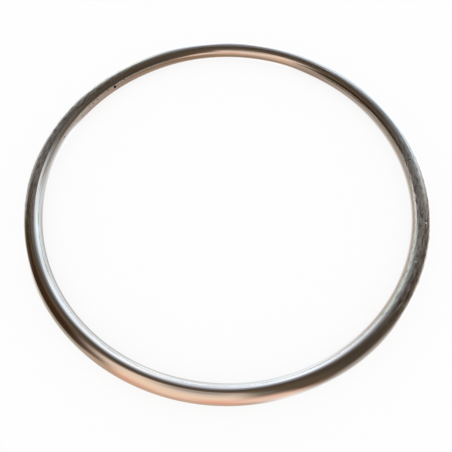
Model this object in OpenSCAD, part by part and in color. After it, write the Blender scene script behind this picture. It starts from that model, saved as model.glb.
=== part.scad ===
// Plain round bangle: one closed ring of round silver wire, lying flat on its side.
// Millimetres. The origin is on the surface it lies on, under the middle of the ring, with +Z up.
// Angles round the ring run anticlockwise from +X, seen from above.

/* [Ring] */
// Clear width of the wrist opening
inner_d = 65; // [58:0.5:72]
// Thickness of the round wire
wire_d = 3; // [2:0.1:4]

/* [Vent hole] */
// Width of the small round hole in the inner face
vent_d = 0.55; // [0.2:0.05:0.8]
// Depth of the hole below the wire's skin
vent_depth = 0.7; // [0.3:0.05:1]
// Where the hole sits round the ring, in degrees
vent_at = 134.8; // [0:0.1:359]
// How far the hole sits above the middle of the wire
vent_rise = 0.3; // [0:0.05:0.8]

/* [Pits] */
// Depth of each small pit, as a share of its width
pit_depth_share = 0.4; // [0.2:0.05:0.5]

/* [Hidden] */

ring_sides = 360;
wire_sides = 96;
hole_sides = 24;

wire_r = wire_d / 2;
centreline_r = inner_d / 2 + wire_r;

// Casting pits along the inner face, one row each: place round the ring in degrees,
// rise above the middle of the wire, and width
PIT_AT = 0;
PIT_RISE = 1;
PIT_WIDTH = 2;
pits = [
    [130.4, 0.55, 0.22],
    [137.8, 0.50, 0.24],
    [142.9, 0.35, 0.20],
    [145.1, 0.40, 0.22],
    [146.9, 0.25, 0.20],
    [150.9, 0.15, 0.18],
    [161.3, 0.43, 0.22],
];

// Radius of the ball that leaves a round pit of this width and depth
function pit_ball_r(width, depth) = (width * width / 4 + depth * depth) / (2 * depth);

// Puts its children on the wire's skin, with +X pointing out of the metal towards the wrist opening
module on_inner_face(at, rise) {
    rotate([0, 0, at])
        translate([centreline_r, 0, wire_r])
            rotate([0, asin(rise / wire_r), 0])
                rotate([0, 0, 180])
                    translate([wire_r, 0, 0])
                        children();
}

// The closed ring of round wire
module ring() {
    translate([0, 0, wire_r])
        rotate_extrude($fn = ring_sides)
            translate([centreline_r, 0])
                circle(r = wire_r, $fn = wire_sides);
}

// A blind drilled hole with a round end, which starts clear of the skin
module vent_hole() {
    r = vent_d / 2;
    straight = vent_depth - r;
    translate([-straight, 0, 0]) {
        rotate([0, 90, 0])
            cylinder(r = r, h = straight + vent_d, $fn = hole_sides);
        sphere(r = r, $fn = hole_sides);
    }
}

// A ball that dips into the skin by a share of the pit's width
module pit(width) {
    depth = width * pit_depth_share;
    r = pit_ball_r(width, depth);
    translate([r - depth, 0, 0])
        sphere(r = r, $fn = hole_sides);
}

module bangle() {
    color("silver")
        difference() {
            ring();
            on_inner_face(vent_at, vent_rise)
                vent_hole();
            for (mark = pits)
                on_inner_face(mark[PIT_AT], mark[PIT_RISE])
                    pit(mark[PIT_WIDTH]);
        }
}

bangle();
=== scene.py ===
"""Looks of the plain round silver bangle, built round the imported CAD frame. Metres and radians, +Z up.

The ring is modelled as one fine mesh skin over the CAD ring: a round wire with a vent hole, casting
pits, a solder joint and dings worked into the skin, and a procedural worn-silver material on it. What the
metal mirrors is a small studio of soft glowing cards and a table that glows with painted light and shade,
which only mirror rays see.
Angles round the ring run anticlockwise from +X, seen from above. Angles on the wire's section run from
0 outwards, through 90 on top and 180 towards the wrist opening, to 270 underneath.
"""
from math import asin, cos, pi, radians, sin

import bpy
import numpy as np
from mathutils import Matrix, Vector


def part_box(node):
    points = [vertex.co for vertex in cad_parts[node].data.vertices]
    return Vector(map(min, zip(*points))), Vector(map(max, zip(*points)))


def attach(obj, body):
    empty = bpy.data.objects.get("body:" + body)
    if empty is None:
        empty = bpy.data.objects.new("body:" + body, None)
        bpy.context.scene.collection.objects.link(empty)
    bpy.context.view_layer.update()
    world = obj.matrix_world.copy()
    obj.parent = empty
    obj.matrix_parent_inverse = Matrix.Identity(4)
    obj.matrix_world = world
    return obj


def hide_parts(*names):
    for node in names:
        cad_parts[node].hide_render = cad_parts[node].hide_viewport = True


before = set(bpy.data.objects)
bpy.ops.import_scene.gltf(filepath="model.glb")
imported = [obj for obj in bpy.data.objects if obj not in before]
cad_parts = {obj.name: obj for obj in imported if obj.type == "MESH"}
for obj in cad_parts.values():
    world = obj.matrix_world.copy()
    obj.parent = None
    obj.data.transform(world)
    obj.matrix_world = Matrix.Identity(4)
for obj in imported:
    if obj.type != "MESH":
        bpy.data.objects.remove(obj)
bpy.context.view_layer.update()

MM = 0.001

# Sizes of the CAD ring, and of the skin, which lies inside it by about the clearance
RING_LOW, RING_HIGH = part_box("bangle")
RING_SIZE = RING_HIGH - RING_LOW
SKIN_CLEARANCE = 0.002 * MM
WIRE_R = RING_SIZE.z / 2 - SKIN_CLEARANCE / 2
CENTRELINE_R = min(RING_SIZE.x, RING_SIZE.y) / 2 - WIRE_R - SKIN_CLEARANCE
RING_MIDDLE = (RING_LOW + RING_HIGH) / 2

# Camera, as fitted to the photo's outline of the ring: how far it is from the ring's middle, how far it
# leans from straight above towards the near side, and how far it tilts, turns and rolls there
PHOTO_SIDE_PX = 452
FOCAL_PX = 381.2
SENSOR = 36
CAMERA_DISTANCE = 2.018 * CENTRELINE_R
CAMERA_LEAN = radians(30.20)
CAMERA_TILT = radians(24.35)
CAMERA_TURN = radians(0.11)
CAMERA_ROLL = radians(0.41)
CAMERA_CLIP = (1 * MM, 10)

# Fineness of the ring's skin: columns round the ring, and the step between rows on the section in
# degrees. The fine rows, where the dings are, are given by their lowest and highest angle and their step,
# and the fine columns at each ding by their step.
COLUMNS = 1080
ROW_STEP = 6
FINE_ROWS = (72, 132, 2.5)
FINE_COLUMN = 0.06 * MM

# Marks cut into the skin, one row each: place round the ring in degrees, rise above the middle of the
# wire, width and depth
VENT_HOLE = (134.8, 0.30 * MM, 0.55 * MM, 0.70 * MM)
PITS = (
    (130.4, 0.55 * MM, 0.22 * MM, 0.088 * MM),
    (137.8, 0.50 * MM, 0.24 * MM, 0.096 * MM),
    (142.9, 0.35 * MM, 0.20 * MM, 0.080 * MM),
    (145.1, 0.40 * MM, 0.22 * MM, 0.088 * MM),
    (146.9, 0.25 * MM, 0.20 * MM, 0.080 * MM),
    (150.9, 0.15 * MM, 0.18 * MM, 0.072 * MM),
    (161.3, 0.43 * MM, 0.22 * MM, 0.088 * MM),
)
# The patch of skin that a mark replaces, in radii of its rim. Its loops lie from near the patch's edge in
# to the rim's shoulder, as shares of the way out, and then inside the rim, as shares of the rim's radius.
PATCH_REACH = 2.0
RIM_SHOULDER = 1.06
OUTER_LOOPS = (0.62, 0.34, 0.14, 0.0)
INNER_LOOPS = (1.0, 0.97, 0.94, 0.9, 0.78, 0.6, 0.4, 0.2)
# The width of the hole's floor as a share of its radius, and its straight wall as a share of its depth
HOLE_FLOOR = 0.9
HOLE_STRAIGHT = 0.7

# Solder joint: a fine line across the wire, polished away except on the inner side of its top. Its ends
# fade over a share of its half length. The columns within reach of it have a finer step.
JOINT_AT = radians(8.85)
JOINT_WIDTH = 0.16 * MM
JOINT_DEPTH = 0.02 * MM
JOINT_FROM = radians(105)
JOINT_TO = radians(131)
JOINT_FADE = 0.3
JOINT_TARNISH = 1.0
JOINT_REACH = 2 * JOINT_WIDTH
JOINT_STEP = JOINT_WIDTH / 4

# Dings, one row each: place round the ring and angle on the section in degrees, length, width, depth, and
# how many times steeper the end away from the camera is
DINGS = (
    (347.6, 84.0, 0.36 * MM, 0.30 * MM, 0.080 * MM, 3),
    (335.0, 110.0, 0.32 * MM, 0.26 * MM, 0.060 * MM, 3),
    (321.3, 95.0, 2.70 * MM, 0.40 * MM, 0.090 * MM, 1),
)


def smooth_step(value, start, end):
    """0 before start, 1 after end, smooth between. start may be above end."""
    share = np.clip((value - start) / (end - start), 0, 1)
    return share * share * (3 - 2 * share)


def turn_between(angle, other):
    """Signed turn from other to angle, from -pi to pi."""
    return (angle - other + pi) % (2 * pi) - pi


def make_camera():
    """The photo's camera: close above the near side, tipped a little forward of the ring's middle."""
    data = bpy.data.cameras.new("photo_camera")
    data.sensor_width = SENSOR
    data.lens = FOCAL_PX / PHOTO_SIDE_PX * SENSOR
    data.clip_start, data.clip_end = CAMERA_CLIP
    camera = bpy.data.objects.new("photo_camera", data)
    bpy.context.scene.collection.objects.link(camera)
    place = RING_MIDDLE + CAMERA_DISTANCE * Vector((0, -sin(CAMERA_LEAN), cos(CAMERA_LEAN)))
    tilt = Matrix.Rotation(CAMERA_TILT, 4, "X")
    turn = Matrix.Rotation(CAMERA_TURN, 4, "Y")
    roll = Matrix.Rotation(CAMERA_ROLL, 4, "Z")
    camera.matrix_world = Matrix.Translation(place) @ tilt @ turn @ roll
    bpy.context.scene.camera = camera


def ding_depth(theta, phi):
    """How far the dings lower the skin at these angles."""
    depth = np.zeros_like(theta)
    for at, angle, length, width, deep, lean in DINGS:
        along = turn_between(theta, radians(at)) * CENTRELINE_R / (length / 2)
        along = np.where(along > 0, along * lean, along)
        across = turn_between(phi, radians(angle)) * WIRE_R / (width / 2)
        depth += deep * np.exp(-(along ** 2 + across ** 2))
    return depth


def joint_line(theta, phi):
    """How strongly the solder joint shows, from 0 to 1."""
    across = turn_between(theta, JOINT_AT) * CENTRELINE_R / (JOINT_WIDTH / 2)
    middle, half = (JOINT_FROM + JOINT_TO) / 2, (JOINT_TO - JOINT_FROM) / 2
    away = abs(turn_between(phi, middle))
    return np.exp(-across ** 2) * smooth_step(away, half * (1 + JOINT_FADE), half * (1 - JOINT_FADE))


def skin(theta, phi, sink=0.0):
    """Points on the wire's skin at these angles, sunk into the metal by a length."""
    theta, phi = np.asarray(theta, float), np.asarray(phi, float)
    r = WIRE_R - ding_depth(theta, phi) - JOINT_DEPTH * joint_line(theta, phi) - sink
    out = CENTRELINE_R + r * np.cos(phi)
    return np.stack([
        RING_MIDDLE.x + out * np.cos(theta),
        RING_MIDDLE.y + out * np.sin(theta),
        RING_MIDDLE.z + r * np.sin(phi),
    ], axis=-1)


def pit_sink(share, depth):
    """Depth of a round-bottomed pit at a share of its radius."""
    return depth * (1 - share ** 2)


def hole_sink(share, depth):
    """Depth of a drilled hole with a round end at a share of its radius."""
    if share > HOLE_FLOOR:
        return depth * HOLE_STRAIGHT * (1 - share) / (1 - HOLE_FLOOR)
    return depth * (HOLE_STRAIGHT + (1 - HOLE_STRAIGHT) * (1 - (share / HOLE_FLOOR) ** 2))


def skin_columns():
    """Angles round the ring, closer together at the dings and the joint."""
    places = [(JOINT_AT, JOINT_REACH, JOINT_STEP)]
    places += [(radians(at), length, FINE_COLUMN) for at, _, length, *_ in DINGS]
    angles = np.arange(COLUMNS) * 2 * pi / COLUMNS
    for at, reach, step in places:
        count = int(np.ceil(reach / step))
        fine = at + np.arange(-count, count + 1) * step / CENTRELINE_R
        angles = angles[abs(turn_between(angles, at)) > (count + 1) * step / CENTRELINE_R]
        angles = np.concatenate([angles, fine])
    return np.sort(angles % (2 * pi))


def skin_rows():
    """Angles on the section, closer together on the top, where the dings are."""
    low, high, step = FINE_ROWS
    fine = np.arange(low, high + step / 2, step)
    coarse = np.arange(high + ROW_STEP, low + 360 - ROW_STEP / 2, ROW_STEP) % 360
    return np.radians(np.sort(np.concatenate([fine, coarse])))


def span(angles, middle, reach):
    """Places in a sorted list of angles just outside middle - reach and middle + reach."""
    low, high = np.searchsorted(angles, (middle - reach, middle + reach))
    return int(low) - 1, int(high)


class Skin:
    """Collects the ring's points, faces and the tarnish in its marks."""

    def __init__(self):
        self.thetas = skin_columns()
        self.phis = skin_rows()
        self.rows = len(self.phis)
        grid_theta, grid_phi = np.meshgrid(self.thetas, self.phis, indexing="ij")
        self.points = [skin(grid_theta.ravel(), grid_phi.ravel())]
        self.tarnish = [JOINT_TARNISH * joint_line(grid_theta.ravel(), grid_phi.ravel())]
        self.count = grid_theta.size
        self.open = np.ones((len(self.thetas), self.rows), bool)
        self.faces = []

    def index(self, column, row):
        """Number of a grid point. Columns and rows wrap round."""
        return (column % len(self.thetas)) * self.rows + row % self.rows

    def add_points(self, theta, phi, sink, tarnish):
        """Adds points on the skin at one depth and returns their numbers."""
        first = self.count
        self.points.append(skin(theta, phi, sink))
        self.tarnish.append(np.full(len(theta), tarnish))
        self.count += len(theta)
        return list(range(first, self.count))

    def border(self, low_column, high_column, low_row, high_row):
        """Grid corners round a patch, anticlockwise seen from outside the wire."""
        corners = [(c, low_row) for c in range(low_column, high_column)]
        corners += [(high_column, r) for r in range(low_row, high_row)]
        corners += [(c, high_row) for c in range(high_column, low_column, -1)]
        corners += [(low_column, r) for r in range(high_row, low_row, -1)]
        return corners

    def join(self, outer, inner):
        """Quads between two loops with the same number of points."""
        for k in range(len(outer)):
            after = (k + 1) % len(outer)
            self.faces.append((outer[k], outer[after], inner[after], inner[k]))

    def cut_mark(self, mark, sink_at):
        """Replaces a patch of the grid with round loops that go down into a pit or hole."""
        at, rise, width, depth = mark
        theta, phi, rim = radians(at), pi - asin(rise / WIRE_R), width / 2
        arm = CENTRELINE_R + WIRE_R * cos(phi)
        low_column, high_column = span(self.thetas, theta, rim * PATCH_REACH / arm)
        low_row, high_row = span(self.phis, phi, rim * PATCH_REACH / WIRE_R)
        self.open[low_column:high_column, low_row:high_row] = False
        corners = self.border(low_column, high_column, low_row, high_row)
        x = np.array([(self.thetas[c] - theta) * arm for c, r in corners])
        y = np.array([(self.phis[r] - phi) * WIRE_R for c, r in corners])
        reach = np.hypot(x, y)
        shoulder = rim * RIM_SHOULDER
        loops = [(shoulder + (reach - shoulder) * share, 0, 0) for share in OUTER_LOOPS]
        loops += [(rim * share, sink_at(share, depth), 1) for share in INNER_LOOPS]
        loop = [self.index(c, r) for c, r in corners]
        for radius, sink, tarnish in loops:
            along, across = x / reach * radius / arm, y / reach * radius / WIRE_R
            new = self.add_points(theta + along, phi + across, sink, tarnish)
            self.join(loop, new)
            loop = new
        (bottom,) = self.add_points(np.array([theta]), np.array([phi]), sink_at(0.0, depth), 1)
        for k in range(len(loop)):
            self.faces.append((loop[k], loop[(k + 1) % len(loop)], bottom))

    def close_grid(self):
        """Quads of the grid outside the patches."""
        for column in range(len(self.thetas)):
            for row in range(self.rows):
                if self.open[column, row]:
                    self.faces.append((
                        self.index(column, row),
                        self.index(column + 1, row),
                        self.index(column + 1, row + 1),
                        self.index(column, row + 1),
                    ))


def add_piece(name, mesh, material):
    """Puts a mesh with its material in the scene."""
    mesh.materials.append(material)
    piece = bpy.data.objects.new(name, mesh)
    bpy.context.scene.collection.objects.link(piece)
    return piece


def make_ring(material):
    """The bangle's skin as one closed mesh."""
    ring = Skin()
    ring.cut_mark(VENT_HOLE, hole_sink)
    for pit in PITS:
        ring.cut_mark(pit, pit_sink)
    ring.close_grid()
    mesh = bpy.data.meshes.new("silver_ring")
    mesh.from_pydata(np.concatenate(ring.points).tolist(), [], ring.faces)
    tarnish = mesh.attributes.new("tarnish", "FLOAT", "POINT")
    tarnish.data.foreach_set("value", np.concatenate(ring.tarnish))
    mesh.shade_smooth()
    return add_piece("silver_ring", mesh, material)


def add_node(tree, kind, **settings):
    """A new node with its settings."""
    node = tree.nodes.new(kind)
    for name, value in settings.items():
        setattr(node, name, value)
    return node


def feed(tree, value, socket):
    """Links a socket, or sets a plain value."""
    if isinstance(value, bpy.types.NodeSocket):
        tree.links.new(value, socket)
    else:
        socket.default_value = value


def math_node(tree, operation, *values):
    """A Math node; a value is a number or a socket."""
    node = add_node(tree, "ShaderNodeMath", operation=operation)
    for k, value in enumerate(values):
        feed(tree, value, node.inputs[k])
    return node.outputs[0]


def step_node(tree, value, start, end):
    """Smooth step of a value from start to end."""
    node = add_node(tree, "ShaderNodeMapRange", interpolation_type="SMOOTHSTEP")
    feed(tree, value, node.inputs["Value"])
    node.inputs["From Min"].default_value = min(start, end)
    node.inputs["From Max"].default_value = max(start, end)
    node.inputs["To Min"].default_value = 0.0 if start < end else 1.0
    node.inputs["To Max"].default_value = 1.0 if start < end else 0.0
    return node.outputs[0]


# Sockets of a Mix node, found by number because several share a name: the two inputs and the output
NUMBER_SOCKETS = (2, 3, 0)
COLOUR_SOCKETS = (6, 7, 2)


def mix_node(tree, share, first, second, sockets=COLOUR_SOCKETS, label=""):
    """A mix of two colours, or of two numbers, which are values or sockets."""
    kind = "RGBA" if sockets == COLOUR_SOCKETS else "FLOAT"
    node = add_node(tree, "ShaderNodeMix", data_type=kind, label=label)
    low, high, out = sockets
    feed(tree, share, node.inputs[0])
    feed(tree, first, node.inputs[low])
    feed(tree, second, node.inputs[high])
    return node.outputs[out]


def reach_node(tree, across, up):
    """Length of a vector with these two parts."""
    squares = [math_node(tree, "MULTIPLY", part, part) for part in (across, up)]
    return math_node(tree, "SQRT", math_node(tree, "ADD", *squares))


def split_node(tree, vector):
    """The three parts of a vector."""
    node = add_node(tree, "ShaderNodeSeparateXYZ")
    tree.links.new(vector, node.inputs[0])
    return node.outputs


def vector_math_node(tree, operation, *values):
    """Outputs of a Vector Math node; a value is a vector or a socket."""
    node = add_node(tree, "ShaderNodeVectorMath", operation=operation)
    for k, value in enumerate(values):
        feed(tree, value, node.inputs[k])
    return node.outputs


def oval_node(tree, place, middle, halves, soft):
    """1 at places in an oval round a middle, 0 outside, with a soft edge as a share of its size."""
    away = vector_math_node(tree, "SUBTRACT", place, middle)["Vector"]
    share = vector_math_node(tree, "DIVIDE", away, halves)["Vector"]
    reach = vector_math_node(tree, "LENGTH", share)["Value"]
    return step_node(tree, reach, 1 + soft, 1 - soft)


def glow_node(tree, colour):
    """An even glow of a colour or socket."""
    node = add_node(tree, "ShaderNodeEmission")
    feed(tree, colour, node.inputs["Color"])
    return node.outputs[0]


def shader_mix_node(tree, share, first, second):
    """A mix of two shaders."""
    node = add_node(tree, "ShaderNodeMixShader")
    for k, value in enumerate((share, first, second)):
        feed(tree, value, node.inputs[k])
    return node.outputs[0]


def mirror_switch_node(tree, seen, mirrored):
    """One shader to the eye and another to mirror rays."""
    ray = add_node(tree, "ShaderNodeLightPath")
    return shader_mix_node(tree, ray.outputs["Is Glossy Ray"], seen, mirrored)


def linear(red, green, blue):
    """A screen colour, 0 to 255 each, as Blender's linear colour by the sRGB curve."""
    def one(value):
        value = value / 255
        return value / 12.92 if value <= 0.04045 else ((value + 0.055) / 1.055) ** 2.4
    return (one(red), one(green), one(blue), 1.0)


# Stretches of the ring that years of wear left hazy, one row each: place round the ring and half length,
# middle angle on the section and half width, all in degrees, and how worn
WORN_STRETCHES = (
    (158, 32, 76, 38, 1.0),
    (347, 29, 96, 60, 0.9),
    (60, 40, 100, 40, 0.2),
)
# How far the edges of these stretches fade to either side, in degrees
WORN_EDGE = 14

# Silver with warmer patches, and the tarnish in its marks. Here and below, a pair of limits says where
# noise starts to count and where it counts in full.
SILVER = (0.94, 0.93, 0.91, 1)
WARM_SILVER = (0.90, 0.87, 0.82, 1)
WARM_PATCH_SIZE = 7 * MM
WARM_PATCHES = (0.45, 0.75)
PATCH_DETAIL = 3
TARNISH = (0.02, 0.016, 0.015, 1)
POLISHED_ROUGHNESS = 0.04
WORN_ROUGHNESS = 0.20
TARNISH_ROUGHNESS = 0.6

# The worn silver has a grain along the wire. It scatters light in its bright flecks and in streaks, and
# is stained in its dark flecks. The last value is the share of its haze that only the bright flecks have.
GRAIN_WIDTH = 0.20 * MM
GRAIN_LENGTH = 1.3 * MM
GRAIN_HEIGHT = 0.032 * MM
GRAIN_DETAIL = 3
GRAIN_FINENESS = 0.6
BRIGHT_FLECKS = (0.48, 0.66)
DARK_FLECKS = (0.50, 0.34)
BRIGHT_STREAKS = (0.48, 0.68)
STREAK_WIDTH = 0.30 * MM
STREAK_LENGTH = 2.5 * MM
HAZE_SHARE = 0.045
STAIN_SHARE = 0.62
FLECK_HAZE = 0.8

# Hairlines along the wire all round the ring, and sparse scratches where the silver is worn, at these
# slants in degrees
HAIRLINE_WIDTH = 0.05 * MM
HAIRLINE_LENGTH = 6 * MM
HAIRLINE_HEIGHT = 0.0012 * MM
SCRATCH_WIDTH = 0.10 * MM
SCRATCH_LENGTH = 2.2 * MM
SCRATCH_HEIGHT = 0.004 * MM
SCRATCH_SCALE = 0.5
SCRATCH_DETAIL = 1
SCRATCH_LIMITS = (0.62, 0.72)
SCRATCH_SLANTS = (28, -37)


def ring_place(tree):
    """The place on the object, its x and y, and the angles round the ring and on the section."""
    place = add_node(tree, "ShaderNodeTexCoord").outputs["Object"]
    x, y, z = split_node(tree, place)
    theta = math_node(tree, "ARCTAN2", y, x)
    rise = math_node(tree, "SUBTRACT", z, RING_MIDDLE.z)
    out = math_node(tree, "SUBTRACT", reach_node(tree, x, y), CENTRELINE_R)
    phi = math_node(tree, "ARCTAN2", rise, out)
    return place, x, y, theta, phi


def turn_node(tree, angle, middle):
    """Signed turn from a middle in degrees to an angle socket, from -pi to pi."""
    return math_node(tree, "WRAP", math_node(tree, "SUBTRACT", angle, radians(middle)), pi, -pi)


def window_node(tree, angle, middle, half, edge):
    """1 where an angle is within half of its middle, with a soft edge. In degrees."""
    away = math_node(tree, "ABSOLUTE", turn_node(tree, angle, middle))
    return step_node(tree, away, radians(half + edge), radians(half - edge))


def wear_node(tree, theta, phi):
    """How worn the silver is, from 0 to 1."""
    worn = 0.0
    for at, half, angle, width, strength in WORN_STRETCHES:
        along = window_node(tree, theta, at, half, WORN_EDGE)
        across = window_node(tree, phi, angle, width, WORN_EDGE)
        here = math_node(tree, "MULTIPLY", math_node(tree, "MULTIPLY", along, across), strength)
        worn = math_node(tree, "MAXIMUM", worn, here)
    return worn


def noise_node(tree, vector, scale, detail, rough=0.5):
    """Noise from 0 to 1 on a vector, finer with more detail and roughness."""
    node = add_node(tree, "ShaderNodeTexNoise")
    tree.links.new(vector, node.inputs["Vector"])
    node.inputs["Scale"].default_value = scale
    node.inputs["Detail"].default_value = detail
    node.inputs["Roughness"].default_value = rough
    return node.outputs["Fac"]


def vector_node(tree, x, y, z):
    """A vector of three values or sockets."""
    node = add_node(tree, "ShaderNodeCombineXYZ")
    for k, value in enumerate((x, y, z)):
        feed(tree, value, node.inputs[k])
    return node.outputs[0]


def lines_along(tree, x, y, phi, width, length, detail=2, rough=0.5):
    """Lines that run along the wire, as polishing and wear leave them."""
    vector = vector_node(tree, math_node(tree, "MULTIPLY", x, 1 / length),
                         math_node(tree, "MULTIPLY", y, 1 / length),
                         math_node(tree, "MULTIPLY", phi, WIRE_R / width))
    return noise_node(tree, vector, 1.0, detail, rough)


def scratches(tree, theta, phi, slant):
    """Short sparse lines at a slant to the wire."""
    u = math_node(tree, "MULTIPLY", theta, CENTRELINE_R)
    v = math_node(tree, "MULTIPLY", phi, WIRE_R)
    c, s = cos(radians(slant)), sin(radians(slant))
    along = math_node(tree, "MULTIPLY_ADD", u, c, math_node(tree, "MULTIPLY", v, s))
    across = math_node(tree, "MULTIPLY_ADD", u, -s, math_node(tree, "MULTIPLY", v, c))
    vector = vector_node(tree, math_node(tree, "MULTIPLY", along, 1 / SCRATCH_LENGTH),
                         math_node(tree, "MULTIPLY", across, 1 / SCRATCH_WIDTH), slant)
    field = noise_node(tree, vector, SCRATCH_SCALE, SCRATCH_DETAIL)
    return step_node(tree, field, *SCRATCH_LIMITS)


def bump_node(tree, height, distance, under=None):
    """A bump of this height, on top of another bump's normal."""
    node = add_node(tree, "ShaderNodeBump")
    feed(tree, height, node.inputs["Height"])
    node.inputs["Distance"].default_value = distance
    if under is not None:
        tree.links.new(under, node.inputs["Normal"])
    return node.outputs[0]


def silver_colour(tree, place, grain, worn, tarnish):
    """Silver with warmer patches, stained in the worn grain's dark flecks and black in the marks."""
    patches = step_node(tree, noise_node(tree, place, 1 / WARM_PATCH_SIZE, PATCH_DETAIL), *WARM_PATCHES)
    metal = mix_node(tree, patches, SILVER, WARM_SILVER)
    stains = math_node(tree, "MULTIPLY", step_node(tree, grain, *DARK_FLECKS), worn)
    metal = mix_node(tree, math_node(tree, "MULTIPLY", stains, STAIN_SHARE), metal, TARNISH)
    return mix_node(tree, tarnish, metal, TARNISH)


def silver_metal(tree, flecks, streaks, worn):
    """1 where the silver only mirrors, a little less where worn flecks and streaks scatter light."""
    scatter = math_node(tree, "MULTIPLY", math_node(tree, "ADD", flecks, streaks), worn)
    return math_node(tree, "SUBTRACT", 1.0, math_node(tree, "MULTIPLY", scatter, HAZE_SHARE))


def silver_roughness(tree, flecks, worn, tarnish):
    """Polished, hazy where worn and most of all in the flecks there, and dull in the marks."""
    haze = math_node(tree, "MULTIPLY_ADD", flecks, FLECK_HAZE, 1 - FLECK_HAZE)
    haze = math_node(tree, "MULTIPLY", haze, worn)
    dulled = mix_node(tree, haze, POLISHED_ROUGHNESS, WORN_ROUGHNESS, NUMBER_SOCKETS)
    return mix_node(tree, tarnish, dulled, TARNISH_ROUGHNESS, NUMBER_SOCKETS)


def silver_relief(tree, x, y, theta, phi, grain, worn):
    """The worn grain, with hairlines and then scratches on top."""
    relief = bump_node(tree, math_node(tree, "MULTIPLY", grain, worn), GRAIN_HEIGHT)
    hairlines = lines_along(tree, x, y, phi, HAIRLINE_WIDTH, HAIRLINE_LENGTH)
    relief = bump_node(tree, hairlines, HAIRLINE_HEIGHT, relief)
    for slant in SCRATCH_SLANTS:
        marks = math_node(tree, "MULTIPLY", scratches(tree, theta, phi, slant), worn)
        relief = bump_node(tree, math_node(tree, "SUBTRACT", 1.0, marks), SCRATCH_HEIGHT, relief)
    return relief


def silver_material():
    """Polished silver worn hazy in places, with hairlines, scratches and dark tarnish in the marks."""
    material = bpy.data.materials.new("worn_silver")
    material.use_nodes = True
    tree = material.node_tree
    shader = tree.nodes["Principled BSDF"]
    place, x, y, theta, phi = ring_place(tree)
    worn = wear_node(tree, theta, phi)
    tarnish = add_node(tree, "ShaderNodeAttribute", attribute_name="tarnish").outputs["Fac"]
    grain = lines_along(tree, x, y, phi, GRAIN_WIDTH, GRAIN_LENGTH, GRAIN_DETAIL, GRAIN_FINENESS)
    flecks = step_node(tree, grain, *BRIGHT_FLECKS)
    streaks = lines_along(tree, x, y, phi, STREAK_WIDTH, STREAK_LENGTH)
    streaks = step_node(tree, streaks, *BRIGHT_STREAKS)
    feed(tree, silver_colour(tree, place, grain, worn, tarnish), shader.inputs["Base Color"])
    feed(tree, silver_metal(tree, flecks, streaks, worn), shader.inputs["Metallic"])
    feed(tree, silver_roughness(tree, flecks, worn, tarnish), shader.inputs["Roughness"])
    feed(tree, silver_relief(tree, x, y, theta, phi, grain, worn), shader.inputs["Normal"])
    return material


# What the metal mirrors, one row each, later rows over earlier ones, in degrees. Azimuth runs from +Y
# towards +X. A band row is: azimuth of the middle, half width, lowest and highest elevation, softness
# across and up. An oval row is: azimuth and elevation of the middle, half width, half height, softness as
# a share. Each row ends with its screen colour, where more than 255 is brighter than white.
SURROUNDINGS = (
    ("room", "band", (0, 180, -90, 90, 5, 5), (95, 80, 65)),
    ("ceiling", "band", (34, 113, 8, 83, 25, 25), (70, 60, 50)),
    ("tan_beam", "band", (-141, 15, 27, 61, 13, 12), (225, 200, 185)),
    ("far_wall", "band", (16, 69, -90, 64, 13, 4), (100, 95, 90)),
    ("dark_core", "oval", (83, 59, 18, 9, 0.40), (80, 75, 70)),
    ("left_dark", "oval", (-100, 24, 33, 22, 0.40), (60, 40, 25)),
    ("left_grey", "band", (-71, 13, -90, 19, 13, 10), (165, 165, 160)),
    ("left_gap", "oval", (-82, 16, 9, 8, 0.50), (70, 60, 35)),
    ("left_mist", "band", (-18, 7, -90, 47, 5, 5), (135, 140, 140)),
    ("left_wall", "band", (-24, 31, -90, 27, 11, 13), (200, 210, 205)),
    ("left_rim", "oval", (-51, 27, 11, 13, 0.40), (115, 105, 105)),
    ("near_cream", "band", (-164, 23, -10, 61, 6, 13), (240, 210, 185)),
    ("near_tan", "band", (-169, 17, 43, 70, 13, 7), (165, 150, 140)),
    ("near_salmon", "oval", (-145, -21, 17, 33, 0.50), (225, 160, 135)),
    ("near_beige", "oval", (-136, -9, 8, 20, 0.35), (175, 155, 130)),
    ("near_salmon_far", "band", (-186, 15, -90, 10, 13, 13), (235, 145, 115)),
    ("right_cream", "band", (165, 13, -90, 21, 8, 13), (240, 200, 180)),
    ("right_tan", "band", (183, 17, 35, 41, 13, 13), (180, 175, 165)),
    ("right_spot", "oval", (152, 31, 9, 22, 0.50), (90, 75, 60)),
    ("right_low", "band", (92, 17, -90, 12, 13, 4), (195, 185, 175)),
    ("right_dim", "band", (131, 14, -90, 12, 7, 7), (135, 125, 115)),
    ("right_brown", "oval", (78, 17, 43, 11, 0.45), (100, 85, 70)),
    ("beige", "band", (52, 16, -90, 35, 13, 3), (200, 190, 180)),
    ("grey_rim", "band", (57, 6, -90, 42, 6, 13), (195, 195, 195)),
    ("right_rim", "oval", (73, 16, 6, 5, 0.40), (130, 115, 100)),
    ("window", "oval", (9, 32, 25, 28, 0.05), (125, 120, 125)),
    ("window_blue", "band", (41, 9, -90, 52, 3, 8), (145, 160, 175)),
    ("pane_1", "band", (-5, 6, -90, 35, 12, 13), (270, 280, 295)),
    ("pane_2", "band", (10, 6, -90, 32, 3, 12), (260, 260, 265)),
    ("pane_3", "band", (21, 11, -90, 44, 11, 13), (240, 250, 260)),
    ("pane_gap", "band", (41, 2, -90, 71, 4, 3), (135, 140, 130)),
    ("pane_4", "band", (42, 11, -90, 35, 13, 6), (245, 260, 270)),
)

# The canopy that carries them. It hangs at this height over the ring's middle, rises at this slope from
# its near edge to an upright back wall, and reaches this far to each side.
CANOPY_HEIGHT = 66 * MM
CANOPY_SLOPE = 0.67
CANOPY_SIDE = 1.5
CANOPY_NEAR = -0.098
BACK_WALL = 0.170

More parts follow.
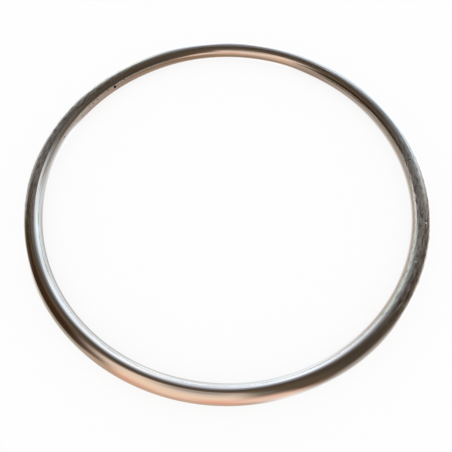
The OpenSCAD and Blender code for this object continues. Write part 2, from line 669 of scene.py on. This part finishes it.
# Soft oval cards that stand upright close round the ring, one row each: middle in mm, turn in degrees
# from facing the camera, half width and half height in mm, softness as a share and screen colour
NEAR_CARDS = (
    ("left_card", -30, 39, 6, 0, 12, 10, 0.60, (250, 255, 255)),
    ("low_card", 4, 61, 4.5, 0, 14, 4, 0.80, (290, 305, 320)),
    ("high_card", 16, 72, 80, 0, 7, 6, 0.65, (130, 125, 125)),
    ("right_card", 53, -2, 4.5, 90, 10, 2, 0.50, (110, 95, 85)),
    ("top_card", 20, 43, 60, -72, 8, 11, 0.88, (245, 240, 235)),
    ("grey_card", 43, 32, 29.5, -40, 10, 12, 0.86, (130, 135, 140)),
)

# The table in the metal glows with painted light and shade: a lit tone brighter than white, and patches
# of painted shadow from the ring, painted light and warm reflected tints, one row each, later rows over
# earlier
# ones: middle and half sizes in mm, softness as a share and screen colour
TABLE_LIT_GLOW = (305, 305, 310)
TABLE_LIGHT_AND_SHADE_PATCHES = (
    # The far patches inside the ring are painted shadow of the ring's far side on the table
    ("far_tan_painted_shadow", -2, 17, 27, 15, 0.08, (185, 160, 145)),
    ("far_rim_right", 13, 24, 8, 5, 0.46, (120, 20, 5)),
    ("far_rim_left", -14, 24, 8, 4, 0.32, (175, 150, 135)),
    ("far_brown_painted_shadow", 0, 23.4, 16.4, 9.3, 0.10, (160, 130, 105)),
    ("right_grey", 16, 1, 16, 26, 0.16, (185, 170, 155)),
    ("dark_spot", 13, 17, 6, 4, 0.18, (5, 5, 5)),
    ("left_in", -21, -8, 12, 26, 0.16, (205, 205, 205)),
    ("near_blue", -1, -26, 16, 6, 0.80, (230, 240, 240)),
    # Painted shade of the ring's near side on the table, warmed by a painted reflected skin tint
    ("near_peach_painted_shade_and_bounce", -17, -57, 38, 27, 0.12, (190, 155, 135)),
    ("near_white", 29, -42, 22, 11, 0.22, (250, 245, 240)),
    ("right_out", 32, -42, 16, 16, 0.22, (205, 190, 180)),
    ("left_tan", -39, -30, 14, 12, 0.48, (205, 190, 165)),
    ("left_low", -45, 7, 7, 8, 0.54, (175, 165, 160)),
)

# How strongly the table mirrors: seen straight down, and how fast that rises towards a grazing view
TABLE_SHEEN = 0.27
TABLE_SHEEN_POWER = 5.5

# The floor to the camera: its white, the plain light on it, the share of it that glows by itself, so
# that the shadow under the ring stays light, and how far it reaches each way
FLOOR_WHITE = 0.9
LIGHT_ON_FLOOR = 1.1
FLOOR_LIFT = 0.86
FLOOR_REACH = 2.0


def band_cover(tree, azimuth, elevation, middle, half, low, high, soft_across, soft_up):
    """1 on an upright soft-edged band of directions, 0 off it. Limits of 180 or 90 degrees are open."""
    cover = 1.0
    if half < 180:
        across = math_node(tree, "ABSOLUTE", turn_node(tree, azimuth, middle))
        cover = step_node(tree, across, radians(half + soft_across), radians(half - soft_across))
    if low > -90:
        rise = step_node(tree, elevation, radians(low - soft_up), radians(low + soft_up))
        cover = math_node(tree, "MULTIPLY", cover, rise)
    if high < 90:
        fall = step_node(tree, elevation, radians(high + soft_up), radians(high - soft_up))
        cover = math_node(tree, "MULTIPLY", cover, fall)
    return cover


def oval_cover(tree, azimuth, elevation, middle, rise, half, half_rise, soft):
    """1 on a soft-edged oval of directions, 0 off it."""
    across = math_node(tree, "DIVIDE", turn_node(tree, azimuth, middle), radians(half))
    up = math_node(tree, "SUBTRACT", elevation, radians(rise))
    up = math_node(tree, "DIVIDE", up, radians(half_rise))
    return step_node(tree, reach_node(tree, across, up), 1 + soft, 1 - soft)


COVERS = {"band": band_cover, "oval": oval_cover}


def surroundings_colour(tree, direction):
    """The mirrored surroundings as a colour by direction."""
    x, y, z = split_node(tree, vector_math_node(tree, "NORMALIZE", direction)["Vector"])
    azimuth = math_node(tree, "ARCTAN2", x, y)
    elevation = math_node(tree, "ARCSINE", z)
    colour = (0, 0, 0, 1)
    for name, shape, numbers, paint in SURROUNDINGS:
        cover = COVERS[shape](tree, azimuth, elevation, *numbers)
        colour = mix_node(tree, cover, colour, linear(*paint), label=name)
    return colour


def make_world():
    """Plain soft white light for the floor, and a room for the metal to mirror."""
    world = bpy.data.worlds.new("studio")
    world.use_nodes = True
    world.cycles.sampling_method = "NONE"
    bpy.context.scene.world = world
    tree = world.node_tree
    plain = tree.nodes["Background"]
    plain.inputs["Color"].default_value = (1, 1, 1, 1)
    plain.inputs["Strength"].default_value = LIGHT_ON_FLOOR
    direction = add_node(tree, "ShaderNodeTexCoord").outputs["Generated"]
    room = add_node(tree, "ShaderNodeBackground")
    feed(tree, surroundings_colour(tree, direction), room.inputs["Color"])
    look = mirror_switch_node(tree, plain.outputs[0], room.outputs[0])
    feed(tree, look, tree.nodes["World Output"].inputs[0])


def stage_material(name, look, *values):
    """A studio material. Its look is a function that takes the node tree and these values."""
    material = bpy.data.materials.new(name)
    material.use_nodes = True
    material.cycles.emission_sampling = "NONE"
    tree = material.node_tree
    tree.nodes.remove(tree.nodes["Principled BSDF"])
    feed(tree, look(tree, *values), tree.nodes["Material Output"].inputs[0])
    return material


def flat_mesh(name, corners):
    """A mesh of one four-sided face."""
    mesh = bpy.data.meshes.new(name)
    mesh.from_pydata(corners, [], [(0, 1, 2, 3)])
    return mesh


def stage_card(name, mesh, material):
    """Puts a card in the studio that only the metal sees."""
    card = add_piece(name, mesh, material)
    card.visible_camera = False
    card.visible_diffuse = False
    card.visible_transmission = False
    card.visible_volume_scatter = False
    card.visible_shadow = False
    return card


def canopy_look(tree):
    """Glows with the mirrored surroundings, as seen from the ring's middle."""
    place = add_node(tree, "ShaderNodeNewGeometry").outputs["Position"]
    away = vector_math_node(tree, "SUBTRACT", place, RING_MIDDLE)["Vector"]
    return glow_node(tree, surroundings_colour(tree, away))


def make_canopy():
    """A soft canopy over the ring and a wall behind it, which only the metal sees."""
    def edge(y, z):
        return [(-CANOPY_SIDE, y, z), (CANOPY_SIDE, y, z)]

    def height(y):
        return RING_MIDDLE.z + CANOPY_HEIGHT + CANOPY_SLOPE * y

    near = edge(CANOPY_NEAR, height(CANOPY_NEAR))
    far = edge(BACK_WALL, height(BACK_WALL))
    mesh = bpy.data.meshes.new("canopy")
    mesh.from_pydata(near + far + edge(BACK_WALL, 0), [], [(0, 1, 3, 2), (2, 3, 5, 4)])
    stage_card("canopy", mesh, stage_material("canopy", canopy_look))


def near_card_look(tree, half, high, soft, paint):
    """Glows in a soft-edged oval round the card's middle and is clear elsewhere."""
    place = add_node(tree, "ShaderNodeTexCoord").outputs["Object"]
    cover = oval_node(tree, place, (0, 0, 0), (half, 1, high), soft)
    clear = add_node(tree, "ShaderNodeBsdfTransparent").outputs[0]
    return shader_mix_node(tree, cover, clear, glow_node(tree, linear(*paint)))


def make_near_cards():
    """Small upright cards close round the ring, cut off at the table."""
    for name, x, y, z, turn, half, high, soft, paint in NEAR_CARDS:
        side, top = half * (1 + soft) * MM, high * (1 + soft) * MM
        bottom = -min(z * MM, top)
        corners = [(-side, 0, bottom), (side, 0, bottom), (side, 0, top), (-side, 0, top)]
        material = stage_material(name, near_card_look, half * MM, high * MM, soft, paint)
        card = stage_card(name, flat_mesh(name, corners), material)
        card.location = (x * MM, y * MM, z * MM)
        card.rotation_euler.z = radians(turn)


def plain_floor(tree):
    """White floor with a light contact shadow."""
    matt = add_node(tree, "ShaderNodeBsdfDiffuse")
    matt.inputs["Color"].default_value = (FLOOR_WHITE, FLOOR_WHITE, FLOOR_WHITE, 1)
    lift = add_node(tree, "ShaderNodeEmission")
    lift.inputs["Strength"].default_value = FLOOR_WHITE * LIGHT_ON_FLOOR
    return shader_mix_node(tree, FLOOR_LIFT, matt.outputs[0], lift.outputs[0])


def painted_table_glow(tree):
    """The table's painted light and shade in the metal by place: a lit glow with patches of painted
    shadow and tint.
    """
    place = add_node(tree, "ShaderNodeNewGeometry").outputs["Position"]
    colour = linear(*TABLE_LIT_GLOW)
    # Each patch paints the table's light and shade at one place
    for name, x, y, half_x, half_y, soft, paint in TABLE_LIGHT_AND_SHADE_PATCHES:
        cover = oval_node(tree, place, (x * MM, y * MM, 0), (half_x * MM, half_y * MM, 1), soft)
        colour = mix_node(tree, cover, colour, linear(*paint), label=name)
    return colour


def mirrored_table(tree):
    """The glossy table that the metal mirrors, glowing with its painted light and shade."""
    shine = add_node(tree, "ShaderNodeBsdfGlossy")
    shine.inputs["Color"].default_value = (1, 1, 1, 1)
    shine.inputs["Roughness"].default_value = 0.0
    facing = add_node(tree, "ShaderNodeLayerWeight").outputs["Facing"]
    grazing = math_node(tree, "POWER", facing, TABLE_SHEEN_POWER)
    share = math_node(tree, "MULTIPLY_ADD", grazing, 1 - TABLE_SHEEN, TABLE_SHEEN)
    # The table's painted light and shade glows here, mixed with a real mirror sheen
    return shader_mix_node(tree, share, glow_node(tree, painted_table_glow(tree)), shine.outputs[0])


def floor_look(tree):
    """Plain white to the eye; the metal mirrors it as a glossy table that glows with painted light and
    shade.
    """
    return mirror_switch_node(tree, plain_floor(tree), mirrored_table(tree))


def make_floor():
    """A large plain floor that the bangle rests on."""
    corners = [(x * FLOOR_REACH, y * FLOOR_REACH, 0) for x, y in ((-1, -1), (1, -1), (1, 1), (-1, 1))]
    floor = add_piece("floor", flat_mesh("floor", corners), stage_material("floor", floor_look))


make_camera()
make_world()
make_floor()
make_canopy()
make_near_cards()
ring = make_ring(silver_material())
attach(ring, "root")
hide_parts("bangle")
bpy.context.scene.view_settings.view_transform = "Standard"
